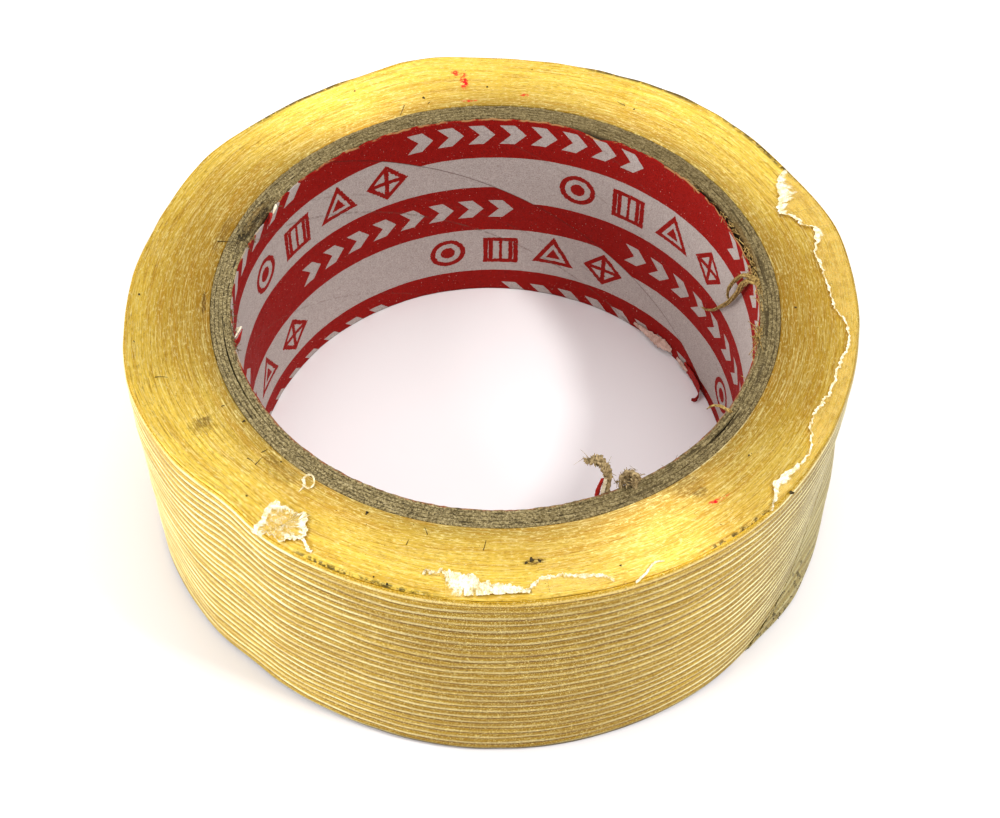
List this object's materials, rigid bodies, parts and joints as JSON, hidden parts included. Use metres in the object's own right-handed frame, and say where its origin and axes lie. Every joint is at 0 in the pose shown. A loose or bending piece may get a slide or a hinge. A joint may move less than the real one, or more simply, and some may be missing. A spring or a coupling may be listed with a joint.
{
  "type": "filament tape roll",
  "caption": "Part-used roll of yarn-reinforced clear adhesive tape on a spiral-wound paperboard core, with a loose torn end on its wall and scraps of torn film on one side face.",
  "frame": {"origin": "where the bore's axis meets the surface that the roll lies on", "axes": "+Z along the bore's axis, up from that surface; +X from the axis towards the side where the tape's loose end stands off the wall"},
  "size_m": [0.1074, 0.1058, 0.0414],
  "materials": {
    "printed_paper": "matt paper with worn red printed bands",
    "chipboard": "rough grey-brown fibre, torn along the rim",
    "wound_tape": "honey-coloured edges of many turns, slightly translucent",
    "adhesive": "amber tacky adhesive",
    "glass_yarn": "white bundled glass fibres",
    "clear_film": "glossy clear film over yarn ridges",
    "torn_film": "clear film with white crazed torn edges"
  },
  "bodies": {
    "roll": {"printed_liner": "printed_paper", "core_ply_1": "chipboard", "core_ply_2": "chipboard", "core_ply_3": "chipboard", "core_ply_4": "chipboard", "core_ply_5": "chipboard", "wound_tape": "wound_tape", "last_turn_adhesive": "adhesive", "last_turn_yarns": "glass_yarn", "last_turn_film": "clear_film", "film_scrap_right": "torn_film", "film_scrap_front": "torn_film", "film_scrap_left": "torn_film", "film_scrap_curl": "torn_film", "loose_yarn": "glass_yarn"},
    "free_end": {"free_end_adhesive": "adhesive", "free_end_yarns": "glass_yarn", "free_end_film": "clear_film"}
  },
  "joints": [
    {"name": "free_end_peel", "type": "hinge", "parent": "roll", "child": "free_end", "pos_m": [0.0436, 0.03053, 0.02], "axis": [0, 0, 1], "range_deg": [0, 80]}
  ]
}
